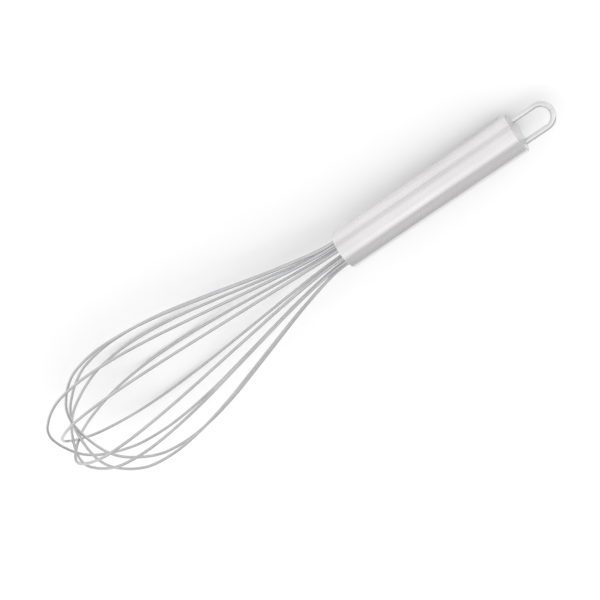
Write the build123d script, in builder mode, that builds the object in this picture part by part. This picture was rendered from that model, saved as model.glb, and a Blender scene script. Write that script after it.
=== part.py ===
from build123d import *
from math import atan2, cos, degrees, radians, sin, tan
import os

# Balloon whisk, lying at rest: +X runs from the balloon's tip to the hanging loop, +Z is up.
# Lengths are in millimetres and angles in degrees.

# Handle tube
HANDLE_DIAMETER = 20.2
HANDLE_WALL = 0.8
HANDLE_LENGTH = 99.5
RIM_ROUNDING = 0.35

# End cap, which closes the tube behind the hanging loop
CAP_DOME_HEIGHT = 1.9
CAP_EDGE_HEIGHT = 0.3
CAP_CROWN = 1.2
CAP_SKIRT_DEPTH = 5.0
CAP_SKIRT_WALL = 1.2
CAP_CLEARANCE = 0.05

# Hanging loop, a bent rod whose legs pass through the cap and are welded behind it
LOOP_ROD = 2.8
LOOP_SPREAD = 11.4
LOOP_REACH = 19.9
LEG_OVERHANG = 2.0
ROD_CLEARANCE = 0.05
BEAD_WIDTH = 0.9
BEAD_HEIGHT = 1.0

# Wires
WIRE = 1.5
WIRE_CLEARANCE = 0.05
FOOT_RADIUS = 6.2
FOOT_OVERHANG = 1.0

# Fittings that hold the wire feet inside the tube, from the mouth inwards
FITTING_CLEARANCE = 0.05
PLUG_RECESS = 1.0
PLUG_THICKNESS = 5.0
RESIN_LENGTH = 14.0
SLEEVE_LENGTH = 9.0
SLEEVE_WALL = 0.8
ANCHOR_THICKNESS = 3.0

# Balloon. Every loop keeps to one outline, and each reaches further than the one inside it
BALLOON_LENGTH = 160.5
NECK_STATION = 7.5
BELLY_RADIUS = 26.7
BELLY_STATION = 140.0

# Half outline of a loop, as shares of its half width and of its length
OUTLINE = [
    (0.30, 0.13),
    (0.44, 0.24),
    (0.73, 0.43),
    (0.98, 0.60),
    (1.11, 0.725),
    (1.165, 0.83),
    (1.145, 0.90),
    (1.09, 0.962),
    (0.93, 1.022),
    (0.68, 1.077),
    (0.44, 1.102),
    (0.16, 1.111),
]
LEAN_POWER = 1.5

# Each corner's arc takes as much of its two runs as they allow, so the wire has no flats
RUN_SHARE = 0.47

# From the innermost loop out: plane angle, half width, extra length, tip's lean along x and y
LOOPS = [
    (152.0, 31.8, 0.0, 5.8, 0.3),
    (178.0, 28.6, 1.7, 6.4, 2.7),
    (243.0, 27.0, 3.3, 6.1, 6.9),
    (215.0, 27.3, 4.8, 3.3, 4.6),
    (102.0, 29.5, 6.9, 3.0, -1.5),
    (134.0, 28.3, 15.0, 3.5, -2.5),
]

# Angle round the axis, in the loops' own terms, that faces the floor
DOWN_ANGLE = 239.0

# Sizes that follow from the ones above
handle_radius = HANDLE_DIAMETER / 2
bore_radius = handle_radius - HANDLE_WALL
wire_radius = WIRE / 2
rod_radius = LOOP_ROD / 2
plug_front = -PLUG_RECESS
plug_back = plug_front - PLUG_THICKNESS
resin_front = plug_back - FITTING_CLEARANCE
resin_back = resin_front - RESIN_LENGTH
sleeve_front = resin_back - FITTING_CLEARANCE
sleeve_back = sleeve_front - SLEEVE_LENGTH
anchor_front = sleeve_back - FITTING_CLEARANCE
anchor_back = anchor_front - ANCHOR_THICKNESS
foot_station = anchor_back - FOOT_OVERHANG
foot_places = [
    (side * FOOT_RADIUS * cos(radians(angle)), side * FOOT_RADIUS * sin(radians(angle)))
    for angle, *_ in LOOPS
    for side in (1, -1)
]

# The handle's far rim and the balloon's belly both rest on the floor
rest_tilt = atan2(BELLY_RADIUS - handle_radius, BELLY_STATION + HANDLE_LENGTH)
to_tip = Vector(-cos(rest_tilt), 0, sin(rest_tilt))
to_floor = Vector(-sin(rest_tilt), 0, -cos(rest_tilt))
to_side = Vector(0, -1, 0)
roll = radians(DOWN_ANGLE)
across = to_floor * cos(roll) - to_side * sin(roll)

# Planes square to the axis: at the mouth facing the tip, and at the far end facing the hanging loop
mouth = Plane(origin=(0, 0, 0), x_dir=across, z_dir=to_tip)
tail = Plane(origin=to_tip * -HANDLE_LENGTH, x_dir=across, z_dir=-to_tip)
tail_profile = Plane(origin=tail.origin, x_dir=tail.x_dir, z_dir=-tail.y_dir)
whisk_axis = Axis(mouth.origin, to_tip)

pieces = {}


def finish(piece, name):
    piece.part.label = name
    pieces[name] = piece.part


def drilled_disc(front, thickness):
    with BuildPart() as disc:
        with BuildSketch(mouth.offset(front)):
            Circle(bore_radius - FITTING_CLEARANCE)
            with Locations(*foot_places):
                Circle(wire_radius + WIRE_CLEARANCE, mode=Mode.SUBTRACT)
        extrude(amount=-thickness)
    return disc


# Handle tube, with both rims rounded
with BuildPart() as handle_tube:
    with BuildSketch(mouth):
        Circle(handle_radius)
        Circle(bore_radius, mode=Mode.SUBTRACT)
    extrude(amount=-HANDLE_LENGTH)
    fillet(handle_tube.edges().filter_by(GeomType.CIRCLE), RIM_ROUNDING)
finish(handle_tube, "handle_tube")

# Domed end cap with a skirt inside the tube and two holes for the hanging loop's legs
cap_radius = bore_radius - CAP_CLEARANCE
with BuildPart() as end_cap:
    with BuildSketch(tail_profile):
        with BuildLine():
            Polyline(
                (0, CAP_DOME_HEIGHT),
                (0, -CAP_CROWN),
                (cap_radius - CAP_SKIRT_WALL, -CAP_CROWN),
                (cap_radius - CAP_SKIRT_WALL, -CAP_SKIRT_DEPTH),
                (cap_radius, -CAP_SKIRT_DEPTH),
                (cap_radius, CAP_EDGE_HEIGHT),
            )
            TangentArc((0, CAP_DOME_HEIGHT), (cap_radius, CAP_EDGE_HEIGHT), tangent=(1, 0))
        make_face()
    revolve(axis=whisk_axis)
    with BuildSketch(tail.offset(CAP_DOME_HEIGHT)):
        with GridLocations(LOOP_SPREAD, 0, 2, 1):
            Circle(rod_radius + ROD_CLEARANCE)
    extrude(amount=-CAP_DOME_HEIGHT - CAP_SKIRT_DEPTH, mode=Mode.SUBTRACT)
finish(end_cap, "end_cap")

# Hanging loop
leg_end = -CAP_CROWN - BEAD_HEIGHT - LEG_OVERHANG
leg_x = LOOP_SPREAD / 2
bend_centre = LOOP_REACH - rod_radius - leg_x
with BuildPart() as hanging_loop:
    with BuildLine(tail_profile) as loop_path:
        Line((-leg_x, leg_end), (-leg_x, bend_centre))
        ThreePointArc((-leg_x, bend_centre), (0, bend_centre + leg_x), (leg_x, bend_centre))
        Line((leg_x, bend_centre), (leg_x, leg_end))
    with BuildSketch(Plane(loop_path.line @ 0, z_dir=loop_path.line % 0)):
        Circle(rod_radius)
    sweep()
finish(hanging_loop, "hanging_loop")

# Weld beads round the legs, on the cap's inner face
with BuildPart() as loop_welds:
    with BuildSketch(tail.offset(-CAP_CROWN - ROD_CLEARANCE)):
        with GridLocations(LOOP_SPREAD, 0, 2, 1):
            Circle(rod_radius + BEAD_WIDTH)
        with GridLocations(LOOP_SPREAD, 0, 2, 1):
            Circle(rod_radius + ROD_CLEARANCE, mode=Mode.SUBTRACT)
    extrude(amount=-BEAD_HEIGHT)
finish(loop_welds, "loop_welds")

# Plug that closes the mouth round the wires, the resin poured behind it, and the disc that
# anchors the wires' inner ends
finish(drilled_disc(plug_front, PLUG_THICKNESS), "mouth_plug")
finish(drilled_disc(resin_front, RESIN_LENGTH), "sealing_resin")
finish(drilled_disc(anchor_front, ANCHOR_THICKNESS), "anchor_disc")

# Core rod inside the ring of wires, and the sleeve crimped round them
with BuildPart() as core_spacer:
    with BuildSketch(mouth.offset(sleeve_front)):
        Circle(FOOT_RADIUS - wire_radius - WIRE_CLEARANCE)
    extrude(amount=-SLEEVE_LENGTH)
finish(core_spacer, "core_spacer")

sleeve_bore = FOOT_RADIUS + wire_radius + WIRE_CLEARANCE
with BuildPart() as crimp_sleeve:
    with BuildSketch(mouth.offset(sleeve_front)):
        Circle(sleeve_bore + SLEEVE_WALL)
        Circle(sleeve_bore, mode=Mode.SUBTRACT)
    extrude(amount=-SLEEVE_LENGTH)
finish(crimp_sleeve, "crimp_sleeve")


def loop_corners(angle, half_width, extra, lean_x, lean_y):
    length = BALLOON_LENGTH + extra
    half = [(FOOT_RADIUS, foot_station), (FOOT_RADIUS, NECK_STATION)]
    half += [(width * half_width, share * length) for width, share in OUTLINE]
    outline = half + [(-x, z) for x, z in reversed(half)]
    corners = []
    for x, z in outline:
        lean = (max(z - NECK_STATION, 0) / length) ** LEAN_POWER
        corner_x = x * cos(radians(angle)) + lean_x * lean
        corner_y = x * sin(radians(angle)) + lean_y * lean
        corners.append(mouth.from_local_coords(Vector(corner_x, corner_y, z)))
    return corners


def corner_radii(corners):
    radii = []
    for before, corner, after in zip(corners, corners[1:], corners[2:]):
        run = min((corner - before).length, (after - corner).length)
        turn = (corner - before).get_angle(after - corner)
        radii.append(RUN_SHARE * run / tan(radians(turn) / 2))
    return radii


# Wire loops, from the innermost out
for number, loop in enumerate(LOOPS, start=1):
    corners = loop_corners(*loop)
    with BuildPart() as wire_loop:
        with BuildLine() as wire_path:
            FilletPolyline(*corners, radius=corner_radii(corners))
        with BuildSketch(Plane(wire_path.line @ 0, z_dir=wire_path.line % 0)):
            Circle(wire_radius)
        sweep()
    finish(wire_loop, f"wire_loop_{number}")

# The whole whisk is set down with the middle of its footprint at the origin
box = Compound(children=[part.moved(Location()) for part in pieces.values()]).bounding_box()
set_down = Location((-box.center().X, -box.center().Y, -box.min.Z))
os.makedirs("parts", exist_ok=True)
for name, part in pieces.items():
    placed = part.moved(set_down)
    placed.label = name
    export_step(placed, f"parts/{name}.step")

print("mouth centre", set_down.position, "tilt", degrees(rest_tilt))
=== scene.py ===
from math import cos, pi, radians, sin, tan
import bmesh
import bpy
from mathutils import Matrix, Vector


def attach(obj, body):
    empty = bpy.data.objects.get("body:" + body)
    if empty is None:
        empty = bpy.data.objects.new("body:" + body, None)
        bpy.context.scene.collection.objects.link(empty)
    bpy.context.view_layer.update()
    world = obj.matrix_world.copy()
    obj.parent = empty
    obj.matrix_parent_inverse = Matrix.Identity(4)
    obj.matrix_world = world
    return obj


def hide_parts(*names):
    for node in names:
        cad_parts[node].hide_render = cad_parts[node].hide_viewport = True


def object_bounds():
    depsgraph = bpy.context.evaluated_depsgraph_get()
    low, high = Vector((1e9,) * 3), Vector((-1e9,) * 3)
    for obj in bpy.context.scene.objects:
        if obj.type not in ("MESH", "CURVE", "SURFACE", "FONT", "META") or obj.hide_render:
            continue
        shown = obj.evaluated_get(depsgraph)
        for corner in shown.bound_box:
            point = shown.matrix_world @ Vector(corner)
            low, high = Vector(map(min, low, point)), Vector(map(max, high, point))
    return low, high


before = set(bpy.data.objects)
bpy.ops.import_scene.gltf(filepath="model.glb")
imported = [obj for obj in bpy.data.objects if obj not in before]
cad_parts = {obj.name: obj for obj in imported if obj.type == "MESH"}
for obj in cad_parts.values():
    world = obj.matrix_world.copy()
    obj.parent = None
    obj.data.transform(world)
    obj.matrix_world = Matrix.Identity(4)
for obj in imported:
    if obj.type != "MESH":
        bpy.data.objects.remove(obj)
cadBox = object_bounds()
mm = 0.001
weldDistance = 1e-7

# how the whisk lies: the mouth of its handle, the slope of its axis, and the side that faces down
lie = {"mouth": (0.038094, 0.003405, 0.017131), "slope": 3.965, "down": 239.0}


def whiskMatrix():
    # local Z runs from the mouth to the balloon's tip, local X is where the loops' angles start
    slope, down = radians(lie["slope"]), radians(lie["down"])
    toTip = Vector((-cos(slope), 0, sin(slope)))
    toFloor = Vector((-sin(slope), 0, -cos(slope)))
    toSide = Vector((0, -1, 0))
    across = toFloor * cos(down) - toSide * sin(down)
    turned = Matrix((across, toTip.cross(across), toTip)).transposed()
    return Matrix.Translation(lie["mouth"]) @ turned.to_4x4()


whisk = whiskMatrix()


class Value:
    # a shader socket that takes + - and * as Math nodes
    def __init__(self, shade, socket):
        self.shade, self.socket = shade, socket

    def maths(self, operation, first, second):
        return self.shade.add("ShaderNodeMath", {"operation": operation}, {0: first, 1: second})

    def __add__(self, other):
        return self.maths("ADD", self, other)

    def __radd__(self, other):
        return self.maths("ADD", other, self)

    def __sub__(self, other):
        return self.maths("SUBTRACT", self, other)

    def __mul__(self, other):
        return self.maths("MULTIPLY", self, other)


class Shade:
    # one node tree, and the one method that adds a node to it
    def __init__(self, tree):
        self.tree = tree
        tree.nodes.clear()

    def add(self, kind, settings=None, inputs=None, out=0):
        node = self.tree.nodes.new(kind)
        for key, value in (settings or {}).items():
            if key == "stops":
                ramp = node.color_ramp
                while len(ramp.elements) < len(value):
                    ramp.elements.new(0.5)
                for element, (place, colour) in zip(ramp.elements, value):
                    element.position, element.color = place, colour
            else:
                setattr(node, key, value)
        for key, value in (inputs or {}).items():
            if isinstance(value, Value):
                self.tree.links.new(value.socket, node.inputs[key])
            else:
                node.inputs[key].default_value = value
        return Value(self, node.outputs[out]) if len(node.outputs) else None

    def finish(self, kind, surface):
        self.add(kind, None, {"Surface": surface})


def newMaterial(name):
    material = bpy.data.materials.new(name)
    material.use_nodes = True
    return material, Shade(material.node_tree)


def whiskPlace(shade):
    # Object coordinates turned so that Z runs along the whisk
    place = shade.add("ShaderNodeTexCoord", out="Object")
    inputs = {"Vector": place, "Location": whisk.translation, "Rotation": whisk.to_euler()}
    return shade.add("ShaderNodeMapping", {"vector_type": "TEXTURE"}, inputs)


def stretched(shade, place, scale):
    return shade.add("ShaderNodeVectorMath", {"operation": "MULTIPLY"}, {0: place, 1: scale})


def noise(shade, place, scale=1.0, detail=3.0, rough=0.55):
    inputs = {"Vector": place, "Scale": scale, "Detail": detail, "Roughness": rough}
    return shade.add("ShaderNodeTexNoise", None, inputs)


def blend(shade, amount, low, high):
    settings = {"data_type": "RGBA"}
    inputs = {0: amount, 6: (*low, 1), 7: (*high, 1)}
    return shade.add("ShaderNodeMix", settings, inputs, out=2)


def metalFinish(name, look):
    # streaks that run with the tool marks, soft blotches, and a fine bump of the same marks
    material, shade = newMaterial(name)
    place = whiskPlace(shade)
    streaks = noise(shade, stretched(shade, place, look["streaks"]), detail=4.0, rough=0.65)
    blotches = noise(shade, place, scale=look["blotches"], detail=2.0)
    shadeOfSteel = streaks * look["streakDepth"] + blotches * (1 - look["streakDepth"])
    colour = blend(shade, shadeOfSteel, look["low"], look["high"])
    rough = look["rough"] + (streaks - 0.5) * look["roughSpread"]
    bump = {"Strength": look["bump"], "Distance": look["bumpDepth"], "Height": streaks}
    normal = shade.add("ShaderNodeBump", None, bump)
    inputs = {"Base Color": colour, "Metallic": look["metallic"], "Roughness": rough, "Normal": normal}
    inputs["Anisotropic"] = look["anisotropic"]
    shader = shade.add("ShaderNodeBsdfPrincipled", None, inputs)
    shade.finish("ShaderNodeOutputMaterial", shader)
    return material


# how much the dull stretches and the fine grain each count in a wire's colour, and the grain's depth
wireMarks = {"dull": 0.75, "grain": 0.25, "bumpDepth": 0.00002}


def wireFinish(name, look):
    # drawn wire: marks follow the length kept on the mesh, with duller stretches here and there
    material, shade = newMaterial(name)
    along = shade.add("ShaderNodeAttribute", {"attribute_name": "along"}, out="Fac")
    place = shade.add("ShaderNodeTexCoord", out="Object")
    strung = shade.add("ShaderNodeCombineXYZ", None, {0: along * look["stretch"], 1: look["seed"]})
    dull = noise(shade, strung, detail=3.0)
    grain = noise(shade, place, scale=look["grain"], detail=2.0)
    colour = blend(shade, dull * wireMarks["dull"] + grain * wireMarks["grain"], look["low"], look["high"])
    rough = look["rough"] + (dull - 0.5) * look["roughSpread"]
    bump = {"Strength": look["bump"], "Distance": wireMarks["bumpDepth"], "Height": grain}
    normal = shade.add("ShaderNodeBump", None, bump)
    inputs = {"Base Color": colour, "Metallic": 1.0, "Roughness": rough, "Normal": normal}
    shader = shade.add("ShaderNodeBsdfPrincipled", None, inputs)
    shade.finish("ShaderNodeOutputMaterial", shader)
    return material



def bentWireTree():
    tree = bpy.data.node_groups.new("bentWire", "GeometryNodeTree")
    face = tree.interface
    face.new_socket(name="Corners", in_out="INPUT", socket_type="NodeSocketGeometry")
    face.new_socket(name="Thickness", in_out="INPUT", socket_type="NodeSocketFloat")
    face.new_socket(name="Sides", in_out="INPUT", socket_type="NodeSocketInt")
    face.new_socket(name="Bend Steps", in_out="INPUT", socket_type="NodeSocketInt")
    face.new_socket(name="Finish", in_out="INPUT", socket_type="NodeSocketMaterial")
    face.new_socket(name="Wire", in_out="OUTPUT", socket_type="NodeSocketGeometry")

    def add(kind, **settings):
        node = tree.nodes.new(kind)
        for key, value in settings.items():
            setattr(node, key, value)
        return node

    def link(source, output, target, name):
        tree.links.new(source.outputs[output], target.inputs[name])

    given = add("NodeGroupInput")
    bend = add("GeometryNodeFilletCurve")
    bend.mode = "POLY"
    cornerRadius = add("GeometryNodeInputRadius")
    link(given, "Corners", bend, "Curve")
    link(cornerRadius, 0, bend, "Radius")
    link(given, "Bend Steps", bend, "Count")
    even = add("GeometryNodeSetCurveRadius")
    even.inputs["Radius"].default_value = 1.0
    link(bend, 0, even, "Curve")
    length = add("GeometryNodeSplineParameter")
    keep = add("GeometryNodeStoreNamedAttribute", data_type="FLOAT", domain="POINT")
    keep.inputs["Name"].default_value = "along"
    link(even, 0, keep, "Geometry")
    link(length, "Length", keep, "Value")
    half = add("ShaderNodeMath", operation="DIVIDE")
    half.inputs[1].default_value = 2.0
    link(given, "Thickness", half, 0)
    ring = add("GeometryNodeCurvePrimitiveCircle")
    link(given, "Sides", ring, "Resolution")
    link(half, 0, ring, "Radius")
    tube = add("GeometryNodeCurveToMesh")
    link(keep, 0, tube, "Curve")
    link(ring, 0, tube, "Profile Curve")
    tube.inputs["Fill Caps"].default_value = True
    smooth = add("GeometryNodeSetShadeSmooth")
    link(tube, 0, smooth, 0)
    real = add("GeometryNodeRealizeInstances")
    link(smooth, 0, real, 0)
    paint = add("GeometryNodeSetMaterial")
    link(real, 0, paint, "Geometry")
    link(given, "Finish", paint, "Material")
    result = add("NodeGroupOutput")
    link(paint, 0, result, 0)
    return tree


wireTree = bentWireTree()


def bentWire(name, corners, radii, sizes, finish):
    # corners are in the whisk's own frame, in millimetres, and each one is rounded to its radius
    line = bpy.data.curves.new(name + "Line", "CURVE")
    line.dimensions = "3D"
    spline = line.splines.new("POLY")
    spline.points.add(len(corners) - 1)
    for point, corner, radius in zip(spline.points, corners, [0, *radii, 0]):
        point.co = (*(whisk @ (Vector(corner) * mm)), 1)
        point.radius = radius * mm
    drawn = bpy.data.objects.new(name + "Line", line)
    bpy.context.collection.objects.link(drawn)
    modifier = drawn.modifiers.new("bentWire", "NODES")
    modifier.node_group = wireTree
    given = {"Thickness": sizes["thickness"] * mm, "Sides": sizes["sides"], "Bend Steps": sizes["bendSteps"]}
    given["Finish"] = finish
    for item in wireTree.interface.items_tree:
        if item.in_out == "INPUT" and item.name in given:
            modifier[item.identifier] = given[item.name]
    depsgraph = bpy.context.evaluated_depsgraph_get()
    mesh = bpy.data.meshes.new_from_object(drawn.evaluated_get(depsgraph), depsgraph=depsgraph)
    bpy.data.objects.remove(drawn)
    mesh.name = name
    shell = bmesh.new()
    shell.from_mesh(mesh)
    bmesh.ops.remove_doubles(shell, verts=shell.verts, dist=weldDistance)
    bmesh.ops.recalc_face_normals(shell, faces=shell.faces)
    shell.to_mesh(mesh)
    shell.free()
    piece = bpy.data.objects.new(name, mesh)
    bpy.context.collection.objects.link(piece)
    if not mesh.materials:
        mesh.materials.append(finish)
    return piece


def largestRadii(corners, share):
    # each bend takes the same share of its shorter run
    radii = []
    for before, corner, after in zip(corners, corners[1:], corners[2:]):
        runIn, runOut = corner - before, after - corner
        turn = runIn.angle(runOut)
        radii.append(share * min(runIn.length, runOut.length) / tan(turn / 2))
    return radii


balloon = {
    "thickness": 1.5,
    "sides": 18,
    "bendSteps": 5,
    "footRadius": 6.2,
    "footStation": -33.15,
    "neckStation": 7.5,
    "length": 160.5,
    "leanPower": 1.5,
    "bendShare": 0.47,
    # half outline, as shares of a loop's half width and of its length
    "outline": [
        (0.30, 0.13),
        (0.44, 0.24),
        (0.73, 0.43),
        (0.98, 0.60),
        (1.11, 0.725),
        (1.165, 0.83),
        (1.145, 0.90),
        (1.09, 0.962),
        (0.93, 1.022),
        (0.68, 1.077),
        (0.44, 1.102),
        (0.16, 1.111),
    ],
    # from the innermost loop out: plane angle, half width, extra length, tip's lean along x and y
    "loops": [
        (152.0, 31.8, 0.0, 5.8, 0.3),
        (178.0, 28.6, 1.7, 6.4, 2.7),
        (243.0, 27.0, 3.3, 6.1, 6.9),
        (215.0, 27.3, 4.8, 3.3, 4.6),
        (102.0, 29.5, 6.9, 3.0, -1.5),
        (134.0, 28.3, 15.0, 3.5, -2.5),
    ],
}

wireLook = {
    "low": (0.42, 0.42, 0.43),
    "high": (0.72, 0.72, 0.73),
    "rough": 0.2,
    "roughSpread": 0.16,
    "stretch": 60.0,
    "grain": 900.0,
    "bump": 0.15,
}


def loopCorners(angle, halfWidth, extra, leanX, leanY):
    length = balloon["length"] + extra
    half = [(balloon["footRadius"], balloon["footStation"]), (balloon["footRadius"], balloon["neckStation"])]
    half += [(width * halfWidth, share * length) for width, share in balloon["outline"]]
    corners = []
    for x, z in half + [(-x, z) for x, z in reversed(half)]:
        lean = (max(z - balloon["neckStation"], 0) / length) ** balloon["leanPower"]
        cornerX = x * cos(radians(angle)) + leanX * lean
        cornerY = x * sin(radians(angle)) + leanY * lean
        corners.append(Vector((cornerX, cornerY, z)))
    return corners


for number, loop in enumerate(balloon["loops"], start=1):
    corners = loopCorners(*loop)
    finish = wireFinish(f"springWire{number}", {**wireLook, "seed": number * 7.3})
    radii = largestRadii(corners, balloon["bendShare"])
    wire = bentWire(f"springWireLoop{number}", corners, radii, balloon, finish)
    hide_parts(f"wire_loop_{number}")
    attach(wire, "root")
print("balloon: six wire loops")

hanger = {
    "thickness": 2.8,
    "sides": 28,
    "bendSteps": 28,
    "spread": 11.4,
    "reach": 19.9,
    "legDepth": 4.2,
    "handleLength": 99.5,
    "look": {
        "low": (0.6, 0.6, 0.61),
        "high": (0.9, 0.9, 0.91),
        "rough": 0.1,
        "roughSpread": 0.08,
        "stretch": 120.0,
        "grain": 700.0,
        "bump": 0.05,
        "seed": 3.1,
    },
}


def hangingLoop():
    side = hanger["spread"] / 2
    tail = -hanger["handleLength"]
    top = tail - hanger["reach"] + hanger["thickness"] / 2
    foot = tail + hanger["legDepth"]
    corners = [Vector(point) for point in ((-side, 0, foot), (-side, 0, top), (side, 0, top), (side, 0, foot))]
    bend = side - 0.001
    finish = wireFinish("polishedRod", hanger["look"])
    return bentWire("hangingRod", corners, [bend, bend], hanger, finish)


rod = hangingLoop()
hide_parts("hanging_loop")
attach(rod, "root")
print("hanging loop")

tube = {
    "radius": 10.1,
    "bore": 9.3,
    "length": 99.5,
    "rim": 0.35,
    "rimSteps": 6,
    "turnSteps": 160,
    "lengthSteps": 24,
    "look": {
        "low": (0.66, 0.645, 0.65),
        "high": (0.9, 0.885, 0.89),
        "rough": 0.27,
        "roughSpread": 0.14,
        "metallic": 1.0,
        "anisotropic": 0.45,
        "streaks": (1500, 1500, 14),
        "streakDepth": 0.6,
        "blotches": 45.0,
        "bump": 0.22,
        "bumpDepth": 0.00003,
    },
}


def tubeSection():
    # outside wall, far rim, bore, near rim, as (radius, station) in millimetres
    outer, bore, far, rim = tube["radius"], tube["bore"], -tube["length"], tube["rim"]
    steps = tube["rimSteps"]
    section = []
    for step in range(tube["lengthSteps"] + 1):
        section.append((outer, -rim + (far + 2 * rim) * step / tube["lengthSteps"]))
    outside, inside = outer - rim, bore + rim
    corners = [(outside, far + rim, 0), (inside, far + rim, 90), (inside, -rim, 180), (outside, -rim, 270)]
    for centreR, centreZ, start in corners:
        for step in range(steps + 1):
            turn = radians(start + 90 * step / steps)
            section.append((centreR + rim * cos(turn), centreZ - rim * sin(turn)))
    return section


def turned(name, section, steps, finish):
    shell = bmesh.new()
    rings = []
    for step in range(steps):
        turn = 2 * pi * step / steps
        ring = [shell.verts.new(whisk @ (Vector((r * cos(turn), r * sin(turn), z)) * mm)) for r, z in section]
        rings.append(ring)
    for ring, following in zip(rings, rings[1:] + rings[:1]):
        for index in range(len(section)):
            after = (index + 1) % len(section)
            shell.faces.new((ring[index], ring[after], following[after], following[index]))
    bmesh.ops.remove_doubles(shell, verts=shell.verts, dist=weldDistance)
    bmesh.ops.recalc_face_normals(shell, faces=shell.faces)
    for face in shell.faces:
        face.smooth = True
    mesh = bpy.data.meshes.new(name)
    shell.to_mesh(mesh)
    shell.free()
    mesh.materials.append(finish)
    piece = bpy.data.objects.new(name, mesh)
    bpy.context.collection.objects.link(piece)
    return piece


handle = turned("handleTube", tubeSection(), tube["turnSteps"], metalFinish("brushedTube", tube["look"]))
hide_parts("handle_tube")
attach(handle, "root")
print("handle tube")

fittings = {
    "end_cap": {
        "low": (0.6, 0.6, 0.61),
        "high": (0.82, 0.82, 0.83),
        "rough": 0.3,
        "streaks": (500, 500, 500),
        "blotches": 120.0,
    },
    "loop_welds": {
        "low": (0.26, 0.23, 0.2),
        "high": (0.6, 0.58, 0.55),
        "rough": 0.5,
        "streaks": (1400, 1400, 1400),
        "blotches": 600.0,
    },
    "mouth_plug": {
        "low": (0.04, 0.04, 0.042),
        "high": (0.085, 0.085, 0.09),
        "rough": 0.55,
        "streaks": (2600, 2600, 2600),
        "blotches": 200.0,
        "metallic": 0.0,
    },
    "sealing_resin": {
        "low": (0.5, 0.43, 0.29),
        "high": (0.66, 0.58, 0.42),
        "rough": 0.22,
        "streaks": (260, 260, 260),
        "blotches": 90.0,
        "metallic": 0.0,
    },
    "core_spacer": {
        "low": (0.5, 0.5, 0.51),
        "high": (0.74, 0.74, 0.75),
        "rough": 0.34,
        "streaks": (60, 60, 2400),
        "blotches": 150.0,
    },
    "crimp_sleeve": {
        "low": (0.52, 0.52, 0.53),
        "high": (0.76, 0.76, 0.77),
        "rough": 0.36,
        "streaks": (1800, 1800, 40),
        "blotches": 150.0,
    },
    "anchor_disc": {
        "low": (0.46, 0.46, 0.47),
        "high": (0.7, 0.7, 0.71),
        "rough": 0.4,
        "streaks": (1500, 80, 1500),
        "blotches": 260.0,
    },
}
plainFitting = {
    "roughSpread": 0.16,
    "metallic": 1.0,
    "anisotropic": 0.0,
    "streakDepth": 0.6,
    "bump": 0.25,
    "bumpDepth": 0.00004,
}

for name, look in fittings.items():
    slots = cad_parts[name].data.materials
    finish = metalFinish(name + "Finish", {**plainFitting, **look})
    if len(slots):
        for index in range(len(slots)):
            slots[index] = finish
    else:
        slots.append(finish)
print("fittings")

studio = {
    "floorSize": 6.0,
    "floorColour": 0.96,
    "cloudScale": 3.0,
    "cloudDepth": 0.02,
    "floorRough": 0.9,
    "worldStrength": 1.05,
    "keyPower": 0.9,
    "keySize": 1.6,
    "keyPlace": (0.15, -0.35, 1.1),
    # brightness that metal reflects, by how far the direction leans across the whisk
    "skyStops": [
        (0.0, 0.8),
        (0.2, 0.86),
        (0.34, 1.08),
        (0.47, 1.0),
        (0.6, 1.06),
        (0.76, 1.08),
        (0.86, 0.5),
        (1.0, 0.62),
    ],
}


def makeFloor():
    half = studio["floorSize"] / 2
    mesh = bpy.data.meshes.new("floor")
    corners = [(-half, -half, 0), (half, -half, 0), (half, half, 0), (-half, half, 0)]
    mesh.from_pydata(corners, [], [(0, 1, 2, 3)])
    floor = bpy.data.objects.new("floor", mesh)
    floor.location = (0, 0, cadBox[0][2])
    bpy.context.collection.objects.link(floor)
    material, shade = newMaterial("studioFloor")
    level = studio["floorColour"]
    cloudy = noise(shade, shade.add("ShaderNodeTexCoord", out="Object"), scale=studio["cloudScale"])
    colour = blend(shade, cloudy, (level, level, level), (level + studio["cloudDepth"],) * 3)
    inputs = {"Base Color": colour, "Roughness": studio["floorRough"]}
    shader = shade.add("ShaderNodeBsdfPrincipled", None, inputs)
    shade.finish("ShaderNodeOutputMaterial", shader)
    mesh.materials.append(material)


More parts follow.
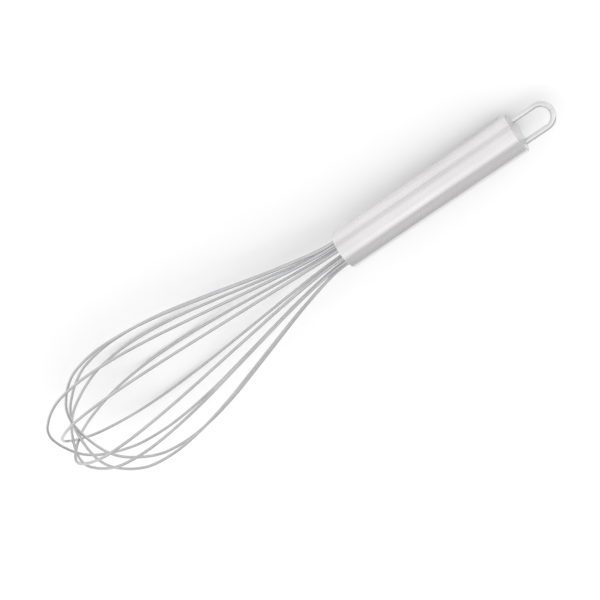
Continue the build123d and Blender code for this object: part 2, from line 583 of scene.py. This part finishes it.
def makeSky():
    # white to the camera; metal sees bright panels either side of a darker strip
    world = bpy.data.worlds.new("studio")
    bpy.context.scene.world = world
    world.use_nodes = True
    shade = Shade(world.node_tree)
    direction = shade.add("ShaderNodeTexCoord", out="Generated")
    across = whisk.to_3x3() @ Vector((1, 0, 0))
    dotProduct = {"operation": "DOT_PRODUCT"}
    side = shade.add("ShaderNodeVectorMath", dotProduct, {0: direction, 1: across}, out="Value")
    stops = [(place, (level, level, level, 1)) for place, level in studio["skyStops"]]
    panels = shade.add("ShaderNodeValToRGB", {"stops": stops}, {0: side * 0.5 + 0.5})
    toCamera = shade.add("ShaderNodeLightPath", out="Is Camera Ray")
    toMetal = shade.add("ShaderNodeLightPath", out="Is Glossy Ray")
    plain = (1, 1, 1, 1)
    lamp = shade.add("ShaderNodeBackground", None, {"Color": plain, "Strength": studio["worldStrength"]})
    mirror = shade.add("ShaderNodeBackground", None, {"Color": panels, "Strength": 1.0})
    white = shade.add("ShaderNodeBackground", None, {"Color": plain, "Strength": 1.0})
    seen = shade.add("ShaderNodeMixShader", None, {0: toMetal, 1: lamp, 2: mirror})
    whole = shade.add("ShaderNodeMixShader", None, {0: toCamera, 1: seen, 2: white})
    shade.finish("ShaderNodeOutputWorld", whole)


def makeKeyLight():
    light = bpy.data.lights.new("softbox", "AREA")
    light.shape = "SQUARE"
    light.size = studio["keySize"]
    light.energy = studio["keyPower"]
    lamp = bpy.data.objects.new("softbox", light)
    lamp.location = studio["keyPlace"]
    lamp.rotation_euler = (-Vector(studio["keyPlace"])).to_track_quat("-Z", "Y").to_euler()
    bpy.context.collection.objects.link(lamp)


# seen from above the handle, with the hanging loop at the upper right
view = {"distance": 0.596, "lens": 73.9, "dive": 20.6, "roll": 33.9, "right": 0.02155, "up": 0.02421}


def makeCamera():
    dive, roll = radians(view["dive"]), radians(view["roll"])
    forward = Vector((0, -cos(dive), sin(dive)))
    right = Vector((sin(roll), -cos(roll) * sin(dive), -cos(roll) * cos(dive)))
    up = -Vector((cos(roll), sin(roll) * sin(dive), sin(roll) * cos(dive)))
    place = -(forward * view["distance"] + right * view["right"] + up * view["up"])
    lens = bpy.data.cameras.new("camera")
    lens.sensor_width = 36
    lens.lens = view["lens"]
    lens.clip_start = 0.01
    camera = bpy.data.objects.new("camera", lens)
    turned = Matrix((right, up, -forward)).transposed().to_4x4()
    camera.matrix_world = whisk @ Matrix.Translation(place) @ turned
    bpy.context.collection.objects.link(camera)
    bpy.context.scene.camera = camera


makeFloor()
makeSky()
makeKeyLight()
makeCamera()
bpy.context.scene.view_settings.view_transform = "Standard"
print("studio")
